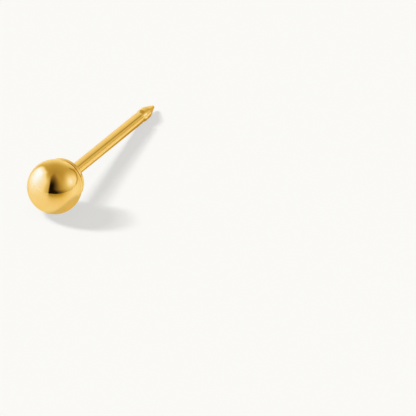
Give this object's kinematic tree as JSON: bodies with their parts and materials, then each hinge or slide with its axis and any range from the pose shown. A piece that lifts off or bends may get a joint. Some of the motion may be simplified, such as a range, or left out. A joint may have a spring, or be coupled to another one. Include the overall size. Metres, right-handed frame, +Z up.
{
  "type": "ball stud earring",
  "caption": "Polished gold ball stud earring: a ball seated on a disc, with a straight ear post whose notched, pointed end takes a clutch. It lies as it rests on a table.",
  "frame": {"origin": "on the surface that the stud lies on, under the middle of its length and width", "axes": "+Z up from the surface, +Y along the stud from the ball to the point, +X to the right when looking along +Y"},
  "size_m": [0.003, 0.0138, 0.003],
  "materials": {
    "ball_gold": "polished",
    "post_gold": "polished, with faint turning lines"
  },
  "bodies": {
    "root": {"ball": "ball_gold", "post": "post_gold"}
  },
  "joints": []
}
